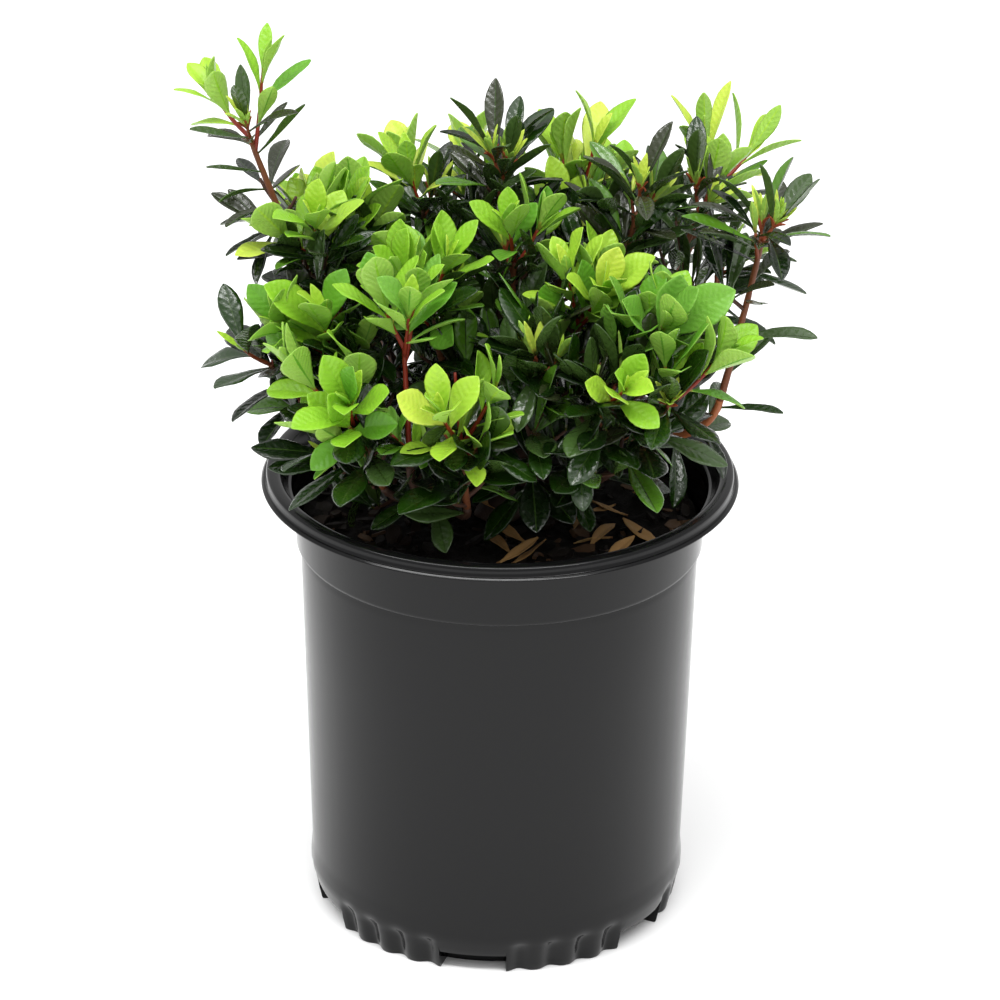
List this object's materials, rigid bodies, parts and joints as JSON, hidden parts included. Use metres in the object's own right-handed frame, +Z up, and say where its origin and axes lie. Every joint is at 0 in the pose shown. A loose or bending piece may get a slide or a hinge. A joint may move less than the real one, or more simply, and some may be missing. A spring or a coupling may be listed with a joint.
{
  "type": "azalea shrub in a nursery pot",
  "caption": "Compact evergreen azalea shrub, leafy and without flowers, rooted in a round black plastic nursery pot filled with growing medium.",
  "frame": {"origin": "middle of the flat underside of the pot, on the ground", "axes": "+Z up along the pot's axis, +X to the right seen from the front, and the front faces -Y"},
  "size_m": [0.2166, 0.1909, 0.3235],
  "materials": {
    "pot": "moulded black polypropylene, satin",
    "growing_medium": "damp peat and bark mix with chips and dead leaves on top",
    "bark": "thin red-brown bark",
    "young_foliage": "soft lime-green young leaves, satin",
    "old_foliage": "dark green leathery leaves with a grey sheen"
  },
  "bodies": {
    "root": {"pot": "pot", "growing_medium": "growing_medium", "trunk": "bark", "bough_front_red_stem": "bark", "bough_left_lime": "bark", "bough_upper_left": "bark", "bough_middle_young": "bark", "bough_right_dark": "bark", "bough_front_right": "bark", "bough_back_centre": "bark", "bough_top_right_dark": "bark", "bough_front_left_low": "bark", "bough_front_lime": "bark", "bough_middle_left": "bark", "bough_left_dark": "bark", "bough_left_low": "bark", "bough_far_left": "bark", "bough_left_young": "bark", "bough_top_left": "bark", "bough_top_dark": "bark", "bough_centre_right": "bark", "bough_far_right": "bark", "bough_upper_right": "bark", "bough_right_front": "bark", "bough_centre_dark": "bark", "bough_front_centre": "bark", "bough_upper_right_lime": "bark", "bough_top_lime": "bark", "bough_back_right": "bark", "bough_back_left": "bark", "bough_back_low": "bark", "foliage_front_red_stem": "young_foliage", "foliage_left_lime": "young_foliage", "foliage_upper_left": "young_foliage", "foliage_middle_young": "young_foliage", "foliage_right_dark": "old_foliage", "foliage_front_right": "young_foliage", "foliage_back_centre": "young_foliage", "foliage_top_right_dark": "old_foliage", "foliage_front_left_low": "young_foliage", "foliage_front_lime": "young_foliage", "foliage_middle_left": "young_foliage", "foliage_left_dark": "old_foliage", "foliage_left_low": "old_foliage", "foliage_far_left": "young_foliage", "foliage_left_young": "young_foliage", "foliage_top_left": "young_foliage", "foliage_top_dark": "old_foliage", "foliage_centre_right": "young_foliage", "foliage_far_right": "old_foliage", "foliage_upper_right": "old_foliage", "foliage_right_front": "young_foliage", "foliage_centre_dark": "old_foliage", "foliage_front_centre": "old_foliage", "foliage_upper_right_lime": "young_foliage", "foliage_top_lime": "young_foliage", "foliage_back_right": "old_foliage", "foliage_back_left": "young_foliage", "foliage_back_low": "old_foliage"}
  },
  "joints": []
}
